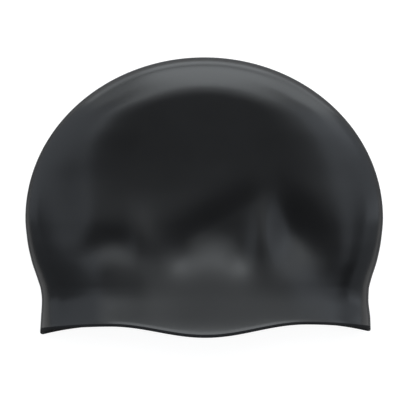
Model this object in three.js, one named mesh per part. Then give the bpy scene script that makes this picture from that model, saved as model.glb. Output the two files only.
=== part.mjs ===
// A moulded silicone swim cap, unworn, lying on its side on a flat surface: one thin hollow shell.
// Lengths are in millimetres. X runs from the front fold to the back fold, Y from the open rim up to
// the crown, and Z up from the surface. The origin is on that surface, under the middle of the cap.
import * as THREE from "three";

// Overall size, as it lies
const CAP_LENGTH = 225; // over the front and back folds
const CAP_HEIGHT = 176; // from the rim's middle lobe to the crown
const CAP_LOFT = 30; // from the surface to the top of the upper wall, which is at the rim
const CROWN_HEIGHT = 101; // from the widest line to the crown
const FOLD_HEIGHT = 8; // from the surface to the folded edge that joins the two walls, at mid-height
const RIM_WAVE = 8.3; // from the rim's middle lobe up to its higher arch
const RIM_PEEK = 2.6; // how far the lower wall's rim shows past the upper one's at the front corner
const DENT_DEPTH = 2.6; // what the depths of the upper wall's dents and creases are shares of

// The silicone wall
const WALL = 0.8;
const RIM_THICKNESS = 1.2; // at the rim's rounded bead
const RIM_BAND = 3.5; // height over which the bead thins to the plain wall

// Facets
const UPPER_SLICES = 38;
const LOWER_SLICES = 22;
const LOWER_CROWDING = 0.5; // how much closer the lower wall's slices stand near the folds
const SIDE_ROWS = 13;
const CROWN_ROWS = 20;
const LIP_ROWS = 4;

// The fold's outline from the rim up to the widest line: up is a share of that height,
// front and back are shares of half the length. Above the widest line it is half an ellipse.
const EDGE_SECTIONS = [
  { up: 0.0, front: 0.919, back: 0.932 },
  { up: 0.15, front: 0.914, back: 0.93 },
  { up: 0.31, front: 0.908, back: 0.919 },
  { up: 0.4, front: 0.914, back: 0.921 },
  { up: 0.48, front: 0.93, back: 0.933 },
  { up: 0.65, front: 0.967, back: 0.968 },
  { up: 0.82, front: 0.99, back: 0.99 },
  { up: 1.0, front: 1.0, back: 1.0 },
];

// The thickness of the lying cap, section by section. up is a share of the cap's height, fold of the
// fold's height, and loft of the cap's loft, as the plain upper wall's top. shoulder and under say how
// far in the upper and the lower wall curve before they lie level, by the measure in depthInside, and
// power how soon the upper wall's curve has done most of its rise. The row below the rim keeps the
// upper wall rising up to it.
const LOFT_SECTIONS = [
  { up: -0.04, fold: 0.58, loft: 1.031, shoulder: 0.9, power: 3.0, under: 0.2 },
  { up: 0.0, fold: 0.62, loft: 0.993, shoulder: 0.9, power: 3.0, under: 0.2 },
  { up: 0.04, fold: 0.67, loft: 0.955, shoulder: 0.92, power: 3.0, under: 0.2 },
  { up: 0.1, fold: 0.75, loft: 0.913, shoulder: 0.95, power: 3.0, under: 0.21 },
  { up: 0.16, fold: 0.82, loft: 0.877, shoulder: 1.0, power: 3.0, under: 0.22 },
  { up: 0.23, fold: 0.9, loft: 0.842, shoulder: 1.0, power: 3.0, under: 0.24 },
  { up: 0.3, fold: 0.96, loft: 0.811, shoulder: 1.0, power: 3.0, under: 0.25 },
  { up: 0.4, fold: 1.0, loft: 0.778, shoulder: 1.0, power: 3.0, under: 0.25 },
  { up: 0.55, fold: 1.08, loft: 0.748, shoulder: 1.0, power: 3.0, under: 0.25 },
  { up: 0.65, fold: 1.2, loft: 0.742, shoulder: 0.82, power: 2.7, under: 0.25 },
  { up: 0.75, fold: 1.32, loft: 0.745, shoulder: 0.58, power: 2.3, under: 0.25 },
  { up: 0.85, fold: 1.4, loft: 0.75, shoulder: 0.42, power: 2.0, under: 0.25 },
  { up: 1.0, fold: 1.45, loft: 0.755, shoulder: 0.42, power: 2.0, under: 0.25 },
];

// The rim's edge either side of its middle lobe: where its arch is highest, as a share of the way to
// the corner, and how high the arch and the corner are, as shares of the rim's wave. peek is how far
// the lower wall's rim shows at the corner, as a share of the rim's peek.
const RIM_EDGE = {
  front: { archAt: 0.575, arch: 0.84, corner: 0.16, peek: 1.0 },
  back: { archAt: 0.61, arch: 1.0, corner: 0.41, peek: 0.7 },
};

// Dents in the upper wall, and ridges with a depth below 0. x and y are shares of half the length and
// of half the height, and so are the radii: along lies on a line turned by turn degrees, and above and
// below lie across it, towards the crown and the rim. depth is a share of the dents' depth.
const DENTS = [
  { name: "middle", x: 0.12, y: -0.16, along: 0.29, above: 0.125, below: 0.3, turn: 37, depth: 0.45 },
  { name: "middle_front", x: -0.14, y: -0.42, along: 0.07, above: 0.13, below: 0.11, turn: 0, depth: 0.17 },
  { name: "middle_back", x: 0.2, y: -0.44, along: 0.07, above: 0.13, below: 0.11, turn: 0, depth: 0.17 },
  { name: "back", x: 0.5, y: -0.27, along: 0.12, above: 0.25, below: 0.25, turn: 8, depth: 1.05 },
  { name: "back_side", x: 0.66, y: -0.44, along: 0.12, above: 0.3, below: 0.3, turn: 0, depth: 0.65 },
  { name: "back_ridge", x: 0.33, y: -0.26, along: 0.08, above: 0.28, below: 0.23, turn: 0, depth: -0.48 },
  { name: "front_ridge", x: -0.35, y: -0.38, along: 0.07, above: 0.24, below: 0.3, turn: 0, depth: -0.25 },
  { name: "front_side", x: -0.8, y: -0.1, along: 0.12, above: 0.42, below: 0.42, turn: 0, depth: 0.7 },
  { name: "front_corner", x: -0.76, y: -0.82, along: 0.1, above: 0.2, below: 0.14, turn: 0, depth: 0.5 },
  { name: "back_corner", x: 0.66, y: -0.85, along: 0.28, above: 0.26, below: 0.14, turn: 0, depth: 0.5 },
];

// Creases in the upper wall, each bent round a middle at x and y. radius and width are shares of half
// the height, and turn says in degrees how far its deepest place lies round from the crown's side.
const CREASES = [
  { name: "middle", x: 0.05, y: -0.7, radius: 0.38, width: 0.17, turn: -8, depth: 0.29 },
  { name: "front", x: -0.51, y: -0.57, radius: 0.24, width: 0.11, turn: -6, depth: 0.27 },
];

const HALF_LENGTH = CAP_LENGTH / 2;
const HALF_HEIGHT = CAP_HEIGHT / 2;
const WIDEST_Y = HALF_HEIGHT - CROWN_HEIGHT;
const SIDE_HEIGHT = CAP_HEIGHT - CROWN_HEIGHT;
const ROUND_POWER = 2.5; // above 2, so that the lower wall's rounding runs out smoothly
const FOLD_TIGHTNESS = 0.8; // below 1, so that the upper wall leaves the fold more steeply
const CREASE_FADE = 1.5; // how soon a crease dies out round its middle
const CORNER_TURN = 0.2; // sine of the angle over which the rim's edge turns from one wall to the other

const mix = (a, b, share) => a + (b - a) * share;
const clamp01 = (value) => Math.min(Math.max(value, 0), 1);
const smoothStep = (share) => share * share * (3 - 2 * share);

// Slope of a column at row i: level at the ends and at highs and lows, the rows' own trend between.
function slopeAt(rows, column, i) {
  if (i === 0 || i === rows.length - 1) return 0;
  const [before, here, after] = [rows[i - 1], rows[i], rows[i + 1]];
  const left = (here[column] - before[column]) / (here.up - before.up);
  const right = (after[column] - here[column]) / (after.up - here.up);
  return left * right > 0 ? (2 * left * right) / (left + right) : 0;
}

// A column of a table of sections, read at a share of the way up and smooth between the rows.
function readSections(rows, column, up) {
  const at = clamp01(up);
  const last = rows.length - 2;
  const i = Math.min(rows.findIndex((row, n) => n > last || at <= rows[n + 1].up), last);
  const span = rows[i + 1].up - rows[i].up;
  const t = (at - rows[i].up) / span;
  const bend = t * (1 - t) * span;
  const ends = mix(rows[i][column], rows[i + 1][column], smoothStep(t));
  return ends + bend * ((1 - t) * slopeAt(rows, column, i) - t * slopeAt(rows, column, i + 1));
}

// Height of the rim's edge over its middle lobe, at an angle round the section.
function rimLift(angle) {
  const side = Math.cos(angle) < 0 ? RIM_EDGE.front : RIM_EDGE.back;
  const reach = Math.abs(Math.cos(angle));
  if (reach < side.archAt) {
    return (RIM_WAVE * side.arch * (1 - Math.cos((Math.PI * reach) / side.archAt))) / 2;
  }
  const past = (reach - side.archAt) / (1 - side.archAt);
  const onUpper = smoothStep(clamp01(0.5 + Math.sin(angle) / (2 * CORNER_TURN)));
  return RIM_WAVE * mix(side.arch, side.corner, past * past) + RIM_PEEK * side.peek * past * past * onUpper;
}

// 0 on the fold, rising steeply as a rounded edge does, and 1 from a depth of 1 on.
const roundOver = (depth) => Math.sqrt(1 - Math.pow(1 - clamp01(depth), ROUND_POWER));

// How far the dents lower the upper wall at a point.
function dentDepth(x, y) {
  return DENTS.reduce((sum, dent) => {
    const turn = THREE.MathUtils.degToRad(dent.turn);
    const dx = x / HALF_LENGTH - dent.x;
    const dy = y / HALF_HEIGHT - dent.y;
    const along = (dx * Math.cos(turn) + dy * Math.sin(turn)) / dent.along;
    const aside = dy * Math.cos(turn) - dx * Math.sin(turn);
    const across = aside / (aside > 0 ? dent.above : dent.below);
    return sum + DENT_DEPTH * dent.depth * Math.exp(-along * along - across * across);
  }, 0);
}

// How far the creases lower the upper wall at a point: each dies out behind its middle.
function creaseDepth(x, y) {
  return CREASES.reduce((sum, crease) => {
    const dx = x - HALF_LENGTH * crease.x;
    const dy = y - HALF_HEIGHT * crease.y;
    const away = (Math.hypot(dx, dy) / HALF_HEIGHT - crease.radius) / crease.width;
    const bearing = Math.atan2(dx, dy) - THREE.MathUtils.degToRad(crease.turn);
    const ahead = Math.pow((1 + Math.cos(bearing)) / 2, CREASE_FADE);
    return sum + DENT_DEPTH * crease.depth * ahead * Math.exp(-away * away);
  }, 0);
}

// The fold's reach to the front and to the back, and its height up the cap, for a row of the mesh.
// A row is a share of the way from the rim to the widest line, or an angle from there to the crown.
function foldAt(row, angle, inset) {
  if (row.crownAngle !== undefined) {
    const reach = (HALF_LENGTH - inset) * Math.cos(row.crownAngle);
    const height = (CROWN_HEIGHT - inset) * Math.sin(row.crownAngle);
    return { front: reach, back: reach, y: WIDEST_Y + height };
  }
  const rimY = -HALF_HEIGHT + RIM_THICKNESS / 2 + rimLift(angle);
  const y = mix(rimY, WIDEST_Y, row.side);
  const up = (y + HALF_HEIGHT) / SIDE_HEIGHT;
  return {
    front: HALF_LENGTH * readSections(EDGE_SECTIONS, "front", up) - inset,
    back: HALF_LENGTH * readSections(EDGE_SECTIONS, "back", up) - inset,
    y,
  };
}

// A point of the shell. angle goes round the section: 0 at the back fold, over the upper wall to PI at
// the front fold, and back under the lower wall. inset is 0 outside and the wall's thickness inside,
// and proud is how far the upper wall's outside stands out there.
function shellPoint(row, angle, inset, proud) {
  const across = Math.cos(angle);
  const outer = foldAt(row, angle, 0);
  const { front, back, y } = foldAt(row, angle, inset);
  const half = (front + back) / 2;
  const x = (back - front) / 2 + half * across;
  const depthInside = Math.pow((half * Math.sin(angle)) / (HALF_LENGTH - inset), 2);
  const up = (outer.y + HALF_HEIGHT) / CAP_HEIGHT;
  const foldZ = FOLD_HEIGHT * readSections(LOFT_SECTIONS, "fold", up);
  if (Math.sin(angle) < 0) {
    const level = roundOver(depthInside / readSections(LOFT_SECTIONS, "under", up));
    return new THREE.Vector3(x, y, foldZ - (foldZ - inset) * level);
  }
  const share = clamp01(depthInside / readSections(LOFT_SECTIONS, "shoulder", up));
  const over = 1 - Math.pow(1 - Math.pow(share, FOLD_TIGHTNESS), readSections(LOFT_SECTIONS, "power", up));
  const rise = CAP_LOFT * readSections(LOFT_SECTIONS, "loft", up) - foldZ;
  const dip = dentDepth(x, y) + creaseDepth(x, y);
  return new THREE.Vector3(x, y, foldZ + (rise - inset + proud - dip) * over);
}

// The angles of the slices round a section.
function sliceAngles() {
  const upper = Array.from({ length: UPPER_SLICES }, (_, i) => (Math.PI * i) / UPPER_SLICES);
  const lower = Array.from({ length: LOWER_SLICES }, (_, i) => {
    const share = i / LOWER_SLICES;
    const crowded = share - (LOWER_CROWDING * Math.sin(2 * Math.PI * share)) / (2 * Math.PI);
    return Math.PI * (1 + crowded);
  });
  return [...upper, ...lower];
}

// The rows from just under the crown down to the rim.
function shellRows() {
  const crown = Array.from({ length: CROWN_ROWS - 1 }, (_, i) => ({
    crownAngle: (Math.PI / 2) * (1 - (i + 1) / CROWN_ROWS),
  }));
  const bandShare = RIM_BAND / SIDE_HEIGHT;
  const side = Array.from({ length: SIDE_ROWS }, (_, i) => ({
    side: mix(1, bandShare, i / (SIDE_ROWS - 1)),
  }));
  return [...crown, ...side, { side: bandShare / 2 }, { side: 0 }];
}

// How far the rim's bead stands out of each face of the wall, on a row.
function rimBead(row) {
  if (row.crownAngle !== undefined) return 0;
  const overRim = clamp01((row.side * SIDE_HEIGHT) / RIM_BAND);
  return ((RIM_THICKNESS - WALL) / 2) * (1 - smoothStep(overRim));
}

// The rounded lip, as rings from the outer skin round to the inner one.
function lipRings(outerRim, innerRim) {
  return Array.from({ length: LIP_ROWS - 1 }, (_, i) => {
    const turn = (Math.PI * (i + 1)) / LIP_ROWS;
    return outerRim.map((outer, n) => {
      const point = outer.clone().lerp(innerRim[n], (1 - Math.cos(turn)) / 2);
      point.y -= (RIM_THICKNESS / 2) * Math.sin(turn);
      return point;
    });
  });
}

// One closed surface from the outer crown down to the rim, round the lip and back up the inside.
function capGeometry() {
  const angles = sliceAngles();
  const rows = shellRows();
  const skin = (row, inset, proud) => angles.map((angle) => shellPoint(row, angle, inset, proud));
  const outer = rows.map((row) => skin(row, 0, rimBead(row)));
  const inner = rows.map((row) => skin(row, WALL + rimBead(row), 0)).reverse();
  const rings = [...outer, ...lipRings(outer.at(-1), inner[0]), ...inner];
  const crownZ = FOLD_HEIGHT * LOFT_SECTIONS.at(-1).fold;
  const outerPole = new THREE.Vector3(0, HALF_HEIGHT, crownZ);
  const innerPole = new THREE.Vector3(0, HALF_HEIGHT - WALL, crownZ);
  const points = [outerPole, ...rings.flat(), innerPole];

  const count = angles.length;
  const corner = (ring, slice) => 1 + ring * count + (slice % count);
  const triangles = [];
  for (let slice = 0; slice < count; slice++) {
    triangles.push(0, corner(0, slice + 1), corner(0, slice));
    for (let ring = 0; ring < rings.length - 1; ring++) {
      const [a, b] = [corner(ring, slice), corner(ring, slice + 1)];
      const [c, d] = [corner(ring + 1, slice), corner(ring + 1, slice + 1)];
      triangles.push(a, b, c, b, d, c);
    }
    const last = rings.length - 1;
    triangles.push(points.length - 1, corner(last, slice), corner(last, slice + 1));
  }
  const geometry = new THREE.BufferGeometry().setFromPoints(points).setIndex(triangles);
  geometry.computeVertexNormals();
  return geometry;
}

const silicone = new THREE.MeshStandardMaterial({ color: 0x1c1d1f, roughness: 0.42, metalness: 0 });
const shell = new THREE.Mesh(capGeometry(), silicone);
shell.name = "cap_shell";

const cap = new THREE.Group();
cap.name = "swim_cap";
cap.add(shell);

export default cap;
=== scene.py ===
"""A black silicone swim cap lying on its side on a pale floor, seen from straight above.

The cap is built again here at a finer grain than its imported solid, from the same sections, and it
stands for that solid. Lengths are in metres. X runs from the front fold to the back fold, Y from the
open rim to the crown, and Z up from the floor.
"""

import math

import bpy
import numpy as np
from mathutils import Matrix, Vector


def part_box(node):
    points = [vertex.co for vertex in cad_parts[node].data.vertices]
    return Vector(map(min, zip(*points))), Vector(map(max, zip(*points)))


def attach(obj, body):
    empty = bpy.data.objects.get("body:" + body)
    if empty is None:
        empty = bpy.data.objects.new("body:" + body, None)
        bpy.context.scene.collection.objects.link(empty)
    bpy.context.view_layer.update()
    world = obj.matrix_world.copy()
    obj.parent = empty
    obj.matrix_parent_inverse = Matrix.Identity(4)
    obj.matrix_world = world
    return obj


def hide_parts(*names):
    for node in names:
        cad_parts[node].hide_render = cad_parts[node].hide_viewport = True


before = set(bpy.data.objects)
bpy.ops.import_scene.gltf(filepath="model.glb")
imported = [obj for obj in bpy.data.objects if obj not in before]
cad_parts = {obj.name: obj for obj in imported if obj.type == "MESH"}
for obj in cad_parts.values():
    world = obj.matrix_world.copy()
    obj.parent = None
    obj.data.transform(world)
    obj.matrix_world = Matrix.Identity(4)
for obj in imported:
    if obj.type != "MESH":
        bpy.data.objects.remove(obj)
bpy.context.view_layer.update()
shell_low, shell_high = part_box("cap_shell")

# Overall size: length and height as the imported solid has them, and the rest as it lies
CAP_LENGTH = shell_high.x - shell_low.x
CAP_HEIGHT = shell_high.y - shell_low.y
CAP_LOFT = 0.030
CROWN_HEIGHT = 0.101
FOLD_HEIGHT = 0.008
RIM_WAVE = 0.0083
RIM_PEEK = 0.0026
DENT_DEPTH = 0.0026

# The silicone wall, its rim and the mould line along the fold
WALL = 0.0008
RIM_THICKNESS = 0.0012
RIM_BAND = 0.0035
SEAM_STANDS = 0.0007
SEAM_THICKNESS = 0.0012

# The mesh: slices round a section, rows from the crown to the rim, and rows round the lip
UPPER_SLICES = 160
LOWER_SLICES = 96
LOWER_CROWDING = 0.5
CROWN_ROWS = 64
SIDE_ROWS = 56
BAND_ROWS = 10
LIP_ROWS = 8
SEAM_SIDES = 12

# How far the duller finishes reach: in rows above the lip, and in from the fold as the square of a
# share of half the length
TRIMMED_ROWS = 4
MOULD_LINE_SHARE = 0.024

# The fold's outline from the rim up to the widest line: up is a share of that height, front and back
# are shares of half the length. Above the widest line it is half an ellipse.
EDGE_SECTIONS = [
    dict(up=0.0, front=0.919, back=0.932),
    dict(up=0.15, front=0.914, back=0.93),
    dict(up=0.31, front=0.908, back=0.919),
    dict(up=0.4, front=0.914, back=0.921),
    dict(up=0.48, front=0.93, back=0.933),
    dict(up=0.65, front=0.967, back=0.968),
    dict(up=0.82, front=0.99, back=0.99),
    dict(up=1.0, front=1.0, back=1.0),
]

# The thickness of the lying cap, section by section. up is a share of the cap's height, fold of the
# fold's height, and loft of the cap's loft, as the plain upper wall's top. shoulder and under say how
# far in the upper and the lower wall curve before they lie level, and power how soon the upper wall's
# curve has done most of its rise. The row below the rim keeps the upper wall rising up to it.
LOFT_SECTIONS = [
    dict(up=-0.04, fold=0.58, loft=1.031, shoulder=0.9, power=3.0, under=0.2),
    dict(up=0.0, fold=0.62, loft=0.993, shoulder=0.9, power=3.0, under=0.2),
    dict(up=0.04, fold=0.67, loft=0.955, shoulder=0.92, power=3.0, under=0.2),
    dict(up=0.1, fold=0.75, loft=0.913, shoulder=0.95, power=3.0, under=0.21),
    dict(up=0.16, fold=0.82, loft=0.877, shoulder=1.0, power=3.0, under=0.22),
    dict(up=0.23, fold=0.9, loft=0.842, shoulder=1.0, power=3.0, under=0.24),
    dict(up=0.3, fold=0.96, loft=0.811, shoulder=1.0, power=3.0, under=0.25),
    dict(up=0.4, fold=1.0, loft=0.778, shoulder=1.0, power=3.0, under=0.25),
    dict(up=0.55, fold=1.08, loft=0.748, shoulder=1.0, power=3.0, under=0.25),
    dict(up=0.65, fold=1.2, loft=0.742, shoulder=0.82, power=2.7, under=0.25),
    dict(up=0.75, fold=1.32, loft=0.745, shoulder=0.58, power=2.3, under=0.25),
    dict(up=0.85, fold=1.4, loft=0.75, shoulder=0.42, power=2.0, under=0.25),
    dict(up=1.0, fold=1.45, loft=0.755, shoulder=0.42, power=2.0, under=0.25),
]

# The rim's edge either side of its middle lobe: where its arch is highest, as a share of the way to
# the corner, and how high the arch and the corner are, as shares of the rim's wave. peek is how far
# the lower wall's rim shows at the corner, as a share of the rim's peek.
RIM_EDGE = {
    "front": dict(arch_at=0.575, arch=0.84, corner=0.16, peek=1.0),
    "back": dict(arch_at=0.61, arch=1.0, corner=0.41, peek=0.7),
}

# Dents in the upper wall, and ridges with a depth below 0. x and y are shares of half the length and
# of half the height, and so are the radii: along lies on a line turned by turn degrees, and above and
# below lie across it, towards the crown and the rim. depth is a share of the dents' depth.
DENTS = [
    dict(name="middle", x=0.12, y=-0.16, along=0.29, above=0.125, below=0.3, turn=37, depth=0.45),
    dict(name="middle_front", x=-0.14, y=-0.42, along=0.07, above=0.13, below=0.11, turn=0, depth=0.17),
    dict(name="middle_back", x=0.2, y=-0.44, along=0.07, above=0.13, below=0.11, turn=0, depth=0.17),
    dict(name="back", x=0.5, y=-0.27, along=0.12, above=0.25, below=0.25, turn=8, depth=1.05),
    dict(name="back_side", x=0.66, y=-0.44, along=0.12, above=0.3, below=0.3, turn=0, depth=0.65),
    dict(name="back_ridge", x=0.33, y=-0.26, along=0.08, above=0.28, below=0.23, turn=0, depth=-0.48),
    dict(name="front_ridge", x=-0.35, y=-0.38, along=0.07, above=0.24, below=0.3, turn=0, depth=-0.25),
    dict(name="front_side", x=-0.8, y=-0.1, along=0.12, above=0.42, below=0.42, turn=0, depth=0.7),
    dict(name="front_corner", x=-0.76, y=-0.82, along=0.1, above=0.2, below=0.14, turn=0, depth=0.5),
    dict(name="back_corner", x=0.66, y=-0.85, along=0.28, above=0.26, below=0.14, turn=0, depth=0.5),
]

# Creases in the upper wall, each bent round a middle at x and y. radius and width are shares of half
# the height, and turn says in degrees how far its deepest place lies round from the crown's side.
CREASES = [
    dict(name="middle", x=0.05, y=-0.7, radius=0.38, width=0.17, turn=-8, depth=0.29),
    dict(name="front", x=-0.51, y=-0.57, radius=0.24, width=0.11, turn=-6, depth=0.27),
]

# How the curves run: powers of the rounded edges and of the creases' fading, and a corner's turn
ROUND_POWER = 2.5
FOLD_TIGHTNESS = 0.8
CREASE_FADE = 1.5
CORNER_TURN = 0.2

# What follows from the sizes above
HALF_LENGTH = CAP_LENGTH / 2
HALF_HEIGHT = CAP_HEIGHT / 2
WIDEST_Y = HALF_HEIGHT - CROWN_HEIGHT
SIDE_HEIGHT = CAP_HEIGHT - CROWN_HEIGHT
CROWN_Z = FOLD_HEIGHT * LOFT_SECTIONS[-1]["fold"]

# Finishes, numbered as the mesh's materials are
SMOOTH, MOULD_LINE, TRIMMED_LIP, INSIDE = range(4)

# The silicone's refraction, and how high its fine grain stands
SILICONE_IOR = 1.45
GRAIN_HEIGHT = 0.0001

# The camera, as the 400 pixel frame of the photograph shows the cap
FRAME_PIXELS = 400
CAP_PIXELS = 357.7
MIDDLE_RIGHT_PIXELS = 4.2
MIDDLE_UP_PIXELS = 2.7
CAMERA_HEIGHT = 4.0
SENSOR_MILLIMETRES = 36

# The floor and the surround: how bright they look, and the light that the surround gives the cap
FLOOR_SIZE = 12.0
FLOOR_GLOW = 0.92
BACKDROP_GLOW = 0.95
SURROUND_LIGHT = 0.052

# The light panels round the cap, and a low strip near its crown. Azimuths run from the crown's side,
# clockwise as seen from above, and zenith angles from straight up.
PANEL_DISTANCE = 2.5
STRIP_DISTANCE = 0.34
STRIP_ZENITHS = (77, 89)
PANEL_STEPS = 12
PALE = (0.92, 0.97, 1)
COOL = (0.84, 0.91, 1)
PANELS = [
    dict(name="panel_crown", azimuths=(-20, 22), zeniths=(16, 70), radiance=4.4, colour=PALE),
    dict(name="panel_crown_far", azimuths=(-20, 22), zeniths=(70, 88), radiance=0.9, colour=PALE),
    dict(name="panel_over_crown", azimuths=(-20, 60), zeniths=(6, 16), radiance=1.15, colour=PALE),
    dict(name="panel_over_front", azimuths=(-60, -20), zeniths=(8, 14), radiance=0.6, colour=PALE),
    dict(name="panel_back_middle", azimuths=(22, 50), zeniths=(42, 74), radiance=3.4, colour=PALE),
    dict(name="panel_back_far", azimuths=(22, 50), zeniths=(74, 88), radiance=1.2, colour=PALE),
    dict(name="panel_back_near", azimuths=(22, 50), zeniths=(16, 42), radiance=1.25, colour=PALE),
    dict(name="panel_back", azimuths=(50, 66), zeniths=(15, 66), radiance=2.1, colour=COOL),
    dict(name="panel_back_edge", azimuths=(50, 66), zeniths=(66, 88), radiance=1.3, colour=COOL),
    dict(name="panel_back_side", azimuths=(66, 84), zeniths=(15, 88), radiance=1.15, colour=COOL),
    dict(name="panel_back_corner", azimuths=(84, 92), zeniths=(50, 88), radiance=1.9, colour=COOL),
    dict(name="panel_back_under", azimuths=(92, 122), zeniths=(50, 88), radiance=0.55, colour=COOL),
    dict(name="panel_back_low", azimuths=(84, 104), zeniths=(12, 30), radiance=1.0, colour=COOL),
    dict(name="panel_back_lower", azimuths=(84, 104), zeniths=(30, 50), radiance=0.4, colour=COOL),
    dict(name="panel_front_far", azimuths=(-44, -20), zeniths=(66, 88), radiance=1.3, colour=PALE),
    dict(name="panel_front_middle", azimuths=(-44, -20), zeniths=(42, 66), radiance=1.7, colour=PALE),
    dict(name="panel_front_near", azimuths=(-44, -20), zeniths=(24, 42), radiance=0.9, colour=PALE),
    dict(name="panel_front_over", azimuths=(-50, -20), zeniths=(14, 22), radiance=2.5, colour=PALE),
    dict(name="panel_front", azimuths=(-84, -44), zeniths=(22, 88), radiance=1.25, colour=COOL),
    dict(name="panel_front_side", azimuths=(-84, -50), zeniths=(14, 22), radiance=1.5, colour=COOL),
    dict(name="panel_front_corner", azimuths=(-92, -84), zeniths=(56, 88), radiance=1.1, colour=COOL),
    dict(name="panel_front_under", azimuths=(-122, -92), zeniths=(56, 88), radiance=0.35, colour=COOL),
    dict(name="panel_front_low", azimuths=(-116, -84), zeniths=(20, 56), radiance=0.35, colour=COOL),
    dict(name="panel_mouth", azimuths=(140, 220), zeniths=(50, 84), radiance=1.0, colour=PALE),
]
STRIPS = [
    dict(name="strip_crown", azimuths=(-20, 22), radiance=4.4),
    dict(name="strip_back", azimuths=(22, 50), radiance=3.2),
    dict(name="strip_front", azimuths=(-44, -20), radiance=2.8),
]


def smooth_step(share):
    return share * share * (3 - 2 * share)


def slope_at(rows, column, i):
    """Slope of a column at row i: level at the ends and at highs and lows."""
    if i in (0, len(rows) - 1):
        return 0.0
    before, here, after = rows[i - 1], rows[i], rows[i + 1]
    left = (here[column] - before[column]) / (here["up"] - before["up"])
    right = (after[column] - here[column]) / (after["up"] - here["up"])
    return 2 * left * right / (left + right) if left * right > 0 else 0.0


def read_sections(rows, column, up):
    """A column of a table of sections, smooth between the rows, at an array of shares of the way up."""
    at = np.clip(up, 0, 1)
    ups = np.array([row["up"] for row in rows])
    values = np.array([row[column] for row in rows])
    slopes = np.array([slope_at(rows, column, i) for i in range(len(rows))])
    i = np.clip(np.searchsorted(ups, at, side="left") - 1, 0, len(rows) - 2)
    span = ups[i + 1] - ups[i]
    t = (at - ups[i]) / span
    ends = values[i] + (values[i + 1] - values[i]) * smooth_step(t)
    return ends + t * (1 - t) * span * ((1 - t) * slopes[i] - t * slopes[i + 1])


def rim_lift(angle):
    """Height of the rim's edge over its middle lobe, at an angle round the section."""
    reach = np.abs(np.cos(angle))
    at_front = np.cos(angle) < 0
    side = {
        key: np.where(at_front, RIM_EDGE["front"][key], RIM_EDGE["back"][key])
        for key in RIM_EDGE["front"]
    }
    swell = RIM_WAVE * side["arch"] * (1 - np.cos(math.pi * reach / side["arch_at"])) / 2
    past = np.clip((reach - side["arch_at"]) / (1 - side["arch_at"]), 0, 1) ** 2
    on_upper = smooth_step(np.clip(0.5 + np.sin(angle) / (2 * CORNER_TURN), 0, 1))
    fall = RIM_WAVE * (side["arch"] + (side["corner"] - side["arch"]) * past)
    return np.where(reach < side["arch_at"], swell, fall + RIM_PEEK * side["peek"] * past * on_upper)


def round_over(depth):
    """0 on the fold, rising steeply as a rounded edge does, and 1 from a depth of 1 on."""
    return np.sqrt(1 - (1 - np.clip(depth, 0, 1)) ** ROUND_POWER)


def dent_depth(x, y):
    """How far the dents lower the upper wall."""
    total = np.zeros_like(x)
    for dent in DENTS:
        turn = math.radians(dent["turn"])
        dx = x / HALF_LENGTH - dent["x"]
        dy = y / HALF_HEIGHT - dent["y"]
        along = (dx * math.cos(turn) + dy * math.sin(turn)) / dent["along"]
        across = dy * math.cos(turn) - dx * math.sin(turn)
        across /= np.where(across > 0, dent["above"], dent["below"])
        total += DENT_DEPTH * dent["depth"] * np.exp(-along * along - across * across)
    return total


def crease_depth(x, y):
    """How far the creases lower the upper wall: each bends round its middle and dies out behind it."""
    total = np.zeros_like(x)
    for crease in CREASES:
        dx = x - HALF_LENGTH * crease["x"]
        dy = y - HALF_HEIGHT * crease["y"]
        away = (np.hypot(dx, dy) / HALF_HEIGHT - crease["radius"]) / crease["width"]
        bearing = np.arctan2(dx, dy) - math.radians(crease["turn"])
        ahead = ((1 + np.cos(bearing)) / 2) ** CREASE_FADE
        total += DENT_DEPTH * crease["depth"] * ahead * np.exp(-away * away)
    return total


def row_table():
    """The mesh's rows from under the crown to the rim: crown angles, and shares of the side's height."""
    crown = np.linspace(math.pi / 2, 0, CROWN_ROWS + 1)[1:-1]
    band = RIM_BAND / SIDE_HEIGHT
    side = np.concatenate([np.linspace(1, band, SIDE_ROWS), np.linspace(band, 0, BAND_ROWS + 1)[1:]])
    return crown, side


def slice_angles():
    """The slices round a section, crowded towards the fold on the lower wall."""
    upper = math.pi * np.arange(UPPER_SLICES) / UPPER_SLICES
    share = np.arange(LOWER_SLICES) / LOWER_SLICES
    crowded = share - LOWER_CROWDING * np.sin(2 * math.pi * share) / (2 * math.pi)
    return np.concatenate([upper, math.pi * (1 + crowded)])


def rim_bead():
    """How far the rim's bead stands out of each face of the wall, on the side's rows."""
    side = row_table()[1]
    over_rim = np.clip(side * SIDE_HEIGHT / RIM_BAND, 0, 1)
    return (RIM_THICKNESS - WALL) / 2 * (1 - smooth_step(over_rim))


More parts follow.
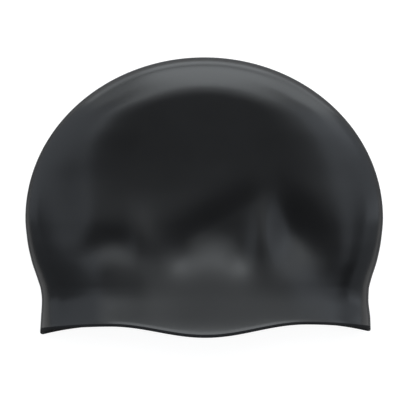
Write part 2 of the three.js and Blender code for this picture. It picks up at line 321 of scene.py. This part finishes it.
def shell_points(angle, inset_side, inset_crown, proud=0.0):
    """Points of one skin, row by row, as an array of rows by slices by 3."""
    crown, side = row_table()
    reach = (HALF_LENGTH - inset_crown) * np.cos(crown)[:, None] * np.ones_like(angle)
    crown_y = WIDEST_Y + (CROWN_HEIGHT - inset_crown) * np.sin(crown)[:, None] * np.ones_like(angle)
    outer_y = WIDEST_Y + CROWN_HEIGHT * np.sin(crown)[:, None] * np.ones_like(angle)

    rim_y = -HALF_HEIGHT + RIM_THICKNESS / 2 + rim_lift(angle)
    side_y = rim_y[None, :] + (WIDEST_Y - rim_y[None, :]) * side[:, None]
    up = (side_y + HALF_HEIGHT) / SIDE_HEIGHT
    inset = inset_side[:, None]
    front = np.concatenate([reach, HALF_LENGTH * read_sections(EDGE_SECTIONS, "front", up) - inset])
    back = np.concatenate([reach, HALF_LENGTH * read_sections(EDGE_SECTIONS, "back", up) - inset])
    y = np.concatenate([crown_y, side_y])
    section_up = (np.concatenate([outer_y, side_y]) + HALF_HEIGHT) / CAP_HEIGHT
    inset = np.concatenate([np.full((len(crown), 1), inset_crown), inset])
    bead = proud * np.concatenate([np.zeros((len(crown), 1)), rim_bead()[:, None]])

    half = (front + back) / 2
    x = (back - front) / 2 + half * np.cos(angle)
    depth_inside = (half * np.sin(angle) / (HALF_LENGTH - inset)) ** 2
    fold_z = FOLD_HEIGHT * read_sections(LOFT_SECTIONS, "fold", section_up)
    under = round_over(depth_inside / read_sections(LOFT_SECTIONS, "under", section_up))
    lower_z = fold_z - (fold_z - inset) * under
    share = np.clip(depth_inside / read_sections(LOFT_SECTIONS, "shoulder", section_up), 0, 1)
    over = 1 - (1 - share**FOLD_TIGHTNESS) ** read_sections(LOFT_SECTIONS, "power", section_up)
    rise = CAP_LOFT * read_sections(LOFT_SECTIONS, "loft", section_up) - fold_z
    upper_z = fold_z + (rise - inset + bead - dent_depth(x, y) - crease_depth(x, y)) * over
    return np.stack([x, y, np.where(np.sin(angle) < 0, lower_z, upper_z)], axis=-1)


def lip_rings(outer_rim, inner_rim):
    """The rounded lip, as rings from the outer skin round to the inner one."""
    rings = []
    for i in range(1, LIP_ROWS):
        turn = math.pi * i / LIP_ROWS
        ring = outer_rim + (inner_rim - outer_rim) * (1 - math.cos(turn)) / 2
        ring[:, 1] -= RIM_THICKNESS / 2 * math.sin(turn)
        rings.append(ring)
    return np.array(rings)


def seam_rings():
    """The thin mould line that stands out all along the fold, from the front corner to the back one."""
    ends = np.array([math.pi, 0.0])
    fold = shell_points(ends, np.zeros(len(row_table()[1])), 0.0)
    crown = np.array([[0.0, HALF_HEIGHT, CROWN_Z]])
    path = np.concatenate([fold[::-1, 0], crown, fold[:, 1]])
    along = np.gradient(path, axis=0)
    along /= np.linalg.norm(along, axis=1)[:, None]
    out = np.cross(along, [0.0, 0.0, -1.0])
    out /= np.linalg.norm(out, axis=1)[:, None]
    turns = 2 * math.pi * np.arange(SEAM_SIDES) / SEAM_SIDES
    wide = SEAM_STANDS * np.cos(turns)
    high = SEAM_THICKNESS / 2 * np.sin(turns)
    middle = path - out * SEAM_STANDS
    rings = middle[:, None, :] + out[:, None, :] * wide[None, :, None]
    rings[:, :, 2] += high[None, :]
    return rings


def tube_faces(rings, slices, first, closed_ends=False):
    """Quads between rings of vertices that start at number first."""
    faces = []
    for ring in range(rings - 1):
        for s in range(slices):
            a = first + ring * slices + s
            b = first + ring * slices + (s + 1) % slices
            faces.append((b, a, a + slices, b + slices))
    if closed_ends:
        faces.append(tuple(first + s for s in range(slices)))
        last = first + (rings - 1) * slices
        faces.append(tuple(last + s for s in reversed(range(slices))))
    return faces


def cap_surface():
    """The cap's points and faces, outer skin, lip, inner skin and mould line, and each face's finish."""
    angle = slice_angles()
    count = len(angle)
    outer = shell_points(angle, np.zeros(len(row_table()[1])), 0.0, proud=1.0)
    inner = shell_points(angle, WALL + rim_bead(), WALL)[::-1]
    rings = np.concatenate([outer, lip_rings(outer[-1], inner[0]), inner])
    seam = seam_rings()
    poles = [[0.0, HALF_HEIGHT, CROWN_Z], [0.0, HALF_HEIGHT - WALL, CROWN_Z]]
    first = len(poles)
    last = first + (len(rings) - 1) * count
    points = np.concatenate([poles, rings.reshape(-1, 3), seam.reshape(-1, 3)])
    faces = [(0, first + s, first + (s + 1) % count) for s in range(count)]
    faces += tube_faces(len(rings), count, first)
    faces += [(1, last + (s + 1) % count, last + s) for s in range(count)]
    first_of_seam = len(faces)
    faces += tube_faces(len(seam), SEAM_SIDES, last + count, closed_ends=True)

    first_of_lip = len(outer) * count
    first_of_inside = first_of_lip + LIP_ROWS * count
    half = np.ptp(outer[:-1, :, 0], axis=1)[:, None] / 2
    by_fold = (half * np.sin(angle) / HALF_LENGTH) ** 2 < MOULD_LINE_SHARE
    finish = np.full(len(faces), SMOOTH, dtype=np.int32)
    finish[:count] = MOULD_LINE
    finish[count:first_of_lip] = np.where(by_fold.ravel(), MOULD_LINE, SMOOTH)
    finish[first_of_lip - TRIMMED_ROWS * count : first_of_inside] = TRIMMED_LIP
    finish[first_of_inside:first_of_seam] = INSIDE
    finish[first_of_seam:] = MOULD_LINE
    return points, faces, finish


def add_object(name, data):
    """A new object in the scene."""
    added = bpy.data.objects.new(name, data)
    bpy.context.scene.collection.objects.link(added)
    return added


def build_cap():
    points, faces, finish = cap_surface()
    mesh = bpy.data.meshes.new("swim_cap")
    mesh.from_pydata(points.tolist(), [], faces)
    mesh.validate()
    mesh.shade_smooth()
    mesh.materials.append(silicone_material())
    mesh.materials.append(trimmed_material("mould_line", roughness=0.5, gloss=0.25))
    mesh.materials.append(trimmed_material("trimmed_lip", roughness=0.7, gloss=0.08))
    mesh.materials.append(inner_painted_fill_material())
    mesh.polygons.foreach_set("material_index", finish)
    piece = add_object("swim_cap", mesh)
    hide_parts("cap_shell")
    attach(piece, "root")


def new_material(name):
    material = bpy.data.materials.new(name)
    material.use_nodes = True
    tree = material.node_tree
    return material, tree, tree.nodes["Principled BSDF"]


def add_noise(tree, scale, detail=2):
    """Noise in the piece's own coordinates, finer as scale grows."""
    place = tree.nodes.new("ShaderNodeTexCoord")
    noise = tree.nodes.new("ShaderNodeTexNoise")
    noise.inputs["Scale"].default_value = scale
    noise.inputs["Detail"].default_value = detail
    tree.links.new(place.outputs["Object"], noise.inputs["Vector"])
    return noise.outputs["Fac"]


def add_tint(tree, shader, noise, dark, light):
    """The shader's base colour, from dark to light as the noise says."""
    tint = tree.nodes.new("ShaderNodeMix")
    tint.data_type = "RGBA"
    tint.inputs["A"].default_value = (*dark, 1)
    tint.inputs["B"].default_value = (*light, 1)
    tree.links.new(noise, tint.inputs["Factor"])
    tree.links.new(tint.outputs["Result"], shader.inputs["Base Color"])


def add_grain(tree, shader, noise, strength):
    """A fine raised grain on the surface."""
    bump = tree.nodes.new("ShaderNodeBump")
    bump.inputs["Strength"].default_value = strength
    bump.inputs["Distance"].default_value = GRAIN_HEIGHT
    tree.links.new(noise, bump.inputs["Height"])
    tree.links.new(bump.outputs["Normal"], shader.inputs["Normal"])


def silicone_material():
    """Satin black silicone: a fine grain, and a tint and a gloss that vary a little."""
    material, tree, shader = new_material("black_silicone")
    shader.inputs["IOR"].default_value = SILICONE_IOR
    add_grain(tree, shader, add_noise(tree, scale=2600), strength=0.12)
    cloud = add_noise(tree, scale=38, detail=4)
    add_tint(tree, shader, cloud, dark=(0.0042, 0.0042, 0.0044), light=(0.0056, 0.0056, 0.0060))
    gloss = tree.nodes.new("ShaderNodeMapRange")
    gloss.inputs["To Min"].default_value = 0.21
    gloss.inputs["To Max"].default_value = 0.25
    tree.links.new(cloud, gloss.inputs["Value"])
    tree.links.new(gloss.outputs["Result"], shader.inputs["Roughness"])
    return material


def trimmed_material(name, roughness, gloss):
    """The same silicone, duller, where the mould parted and where the lip was trimmed."""
    material, tree, shader = new_material(name)
    shader.inputs["Roughness"].default_value = roughness
    shader.inputs["Specular IOR Level"].default_value = gloss
    noise = add_noise(tree, scale=900)
    add_tint(tree, shader, noise, dark=(0.0065, 0.0065, 0.0070), light=(0.0115, 0.0115, 0.0125))
    add_grain(tree, shader, noise, strength=0.3)
    return material


def inner_painted_fill_material():
    """The inside of the cap, matt from the mould's core, and paler than the outside as painted fill
    light on its shaded inside.
    """
    material, tree, shader = new_material("inner_silicone_painted_fill")
    shader.inputs["Roughness"].default_value = 0.5
    shader.inputs["IOR"].default_value = SILICONE_IOR
    noise = add_noise(tree, scale=600)
    # The inside's paler colour is painted light: it lifts the shade that falls inside the cap
    add_tint(tree, shader, noise, dark=(0.020, 0.020, 0.021), light=(0.030, 0.030, 0.032))
    return material


def build_floor():
    """A wide white floor that glows evenly, so that it stays pale under the soft light."""
    half = FLOOR_SIZE / 2
    corners = [(-half, -half, 0), (half, -half, 0), (half, half, 0), (-half, half, 0)]
    mesh = bpy.data.meshes.new("floor")
    mesh.from_pydata(corners, [], [(0, 1, 2, 3)])
    material, _, shader = new_material("floor_white")
    shader.inputs["Base Color"].default_value = (0.2, 0.2, 0.2, 1)
    shader.inputs["Emission Color"].default_value = (1, 1, 1, 1)
    shader.inputs["Emission Strength"].default_value = FLOOR_GLOW
    shader.inputs["Roughness"].default_value = 0.9
    shader.inputs["Specular IOR Level"].default_value = 0.0
    mesh.materials.append(material)
    floor = add_object("floor", mesh)


def glowing_material(name, radiance, colour):
    material = bpy.data.materials.new(name)
    material.use_nodes = True
    tree = material.node_tree
    tree.nodes.clear()
    glow = tree.nodes.new("ShaderNodeEmission")
    glow.inputs["Color"].default_value = (*colour, 1)
    glow.inputs["Strength"].default_value = radiance
    out = tree.nodes.new("ShaderNodeOutputMaterial")
    tree.links.new(glow.outputs["Emission"], out.inputs["Surface"])
    return material


def light_panel(name, azimuths, zeniths, radiance, colour, distance):
    """A curved panel of even light round the cap, between two azimuths and two zenith angles."""
    across = np.radians(np.linspace(azimuths[0], azimuths[1], PANEL_STEPS + 1))
    down = np.radians(np.linspace(zeniths[0], zeniths[1], PANEL_STEPS + 1))
    a, z = np.meshgrid(across, down)
    points = distance * np.stack([np.sin(z) * np.sin(a), np.sin(z) * np.cos(a), np.cos(z)], axis=-1)
    row = PANEL_STEPS + 1
    corners = [i * row + j for i in range(PANEL_STEPS) for j in range(PANEL_STEPS)]
    quads = [(c, c + 1, c + row + 1, c + row) for c in corners]
    mesh = bpy.data.meshes.new(name)
    mesh.from_pydata(points.reshape(-1, 3).tolist(), [], quads)
    mesh.materials.append(glowing_material(name, radiance, colour))
    panel = add_object(name, mesh)
    panel.visible_camera = False
    panel.visible_shadow = False


def build_surround():
    """A pale backdrop to the camera, and a dim even light to everything else."""
    world = bpy.data.worlds.new("studio")
    world.use_nodes = True
    tree = world.node_tree
    dim = tree.nodes["Background"]
    dim.inputs["Color"].default_value = (1, 1, 1, 1)
    dim.inputs["Strength"].default_value = SURROUND_LIGHT
    seen = tree.nodes.new("ShaderNodeBackground")
    seen.inputs["Color"].default_value = (1, 1, 1, 1)
    seen.inputs["Strength"].default_value = BACKDROP_GLOW
    path = tree.nodes.new("ShaderNodeLightPath")
    either = tree.nodes.new("ShaderNodeMixShader")
    tree.links.new(path.outputs["Is Camera Ray"], either.inputs["Fac"])
    tree.links.new(dim.outputs["Background"], either.inputs[1])
    tree.links.new(seen.outputs["Background"], either.inputs[2])
    tree.links.new(either.outputs["Shader"], tree.nodes["World Output"].inputs["Surface"])
    bpy.context.scene.world = world


def build_lights():
    for panel in PANELS:
        light_panel(distance=PANEL_DISTANCE, **panel)
    for strip in STRIPS:
        light_panel(zeniths=STRIP_ZENITHS, colour=PALE, distance=STRIP_DISTANCE, **strip)
    build_surround()


def build_camera():
    """Straight above, with the cap as large and as far off centre as in the photograph."""
    pixel = CAP_LENGTH / CAP_PIXELS
    lens = bpy.data.cameras.new("camera")
    lens.sensor_width = SENSOR_MILLIMETRES
    lens.lens = SENSOR_MILLIMETRES * (CAMERA_HEIGHT - FOLD_HEIGHT) / (pixel * FRAME_PIXELS)
    camera = add_object("camera", lens)
    camera.location = (-MIDDLE_RIGHT_PIXELS * pixel, -MIDDLE_UP_PIXELS * pixel, CAMERA_HEIGHT)
    bpy.context.scene.camera = camera


build_cap()
build_floor()
build_lights()
build_camera()
bpy.context.scene.view_settings.view_transform = "Standard"
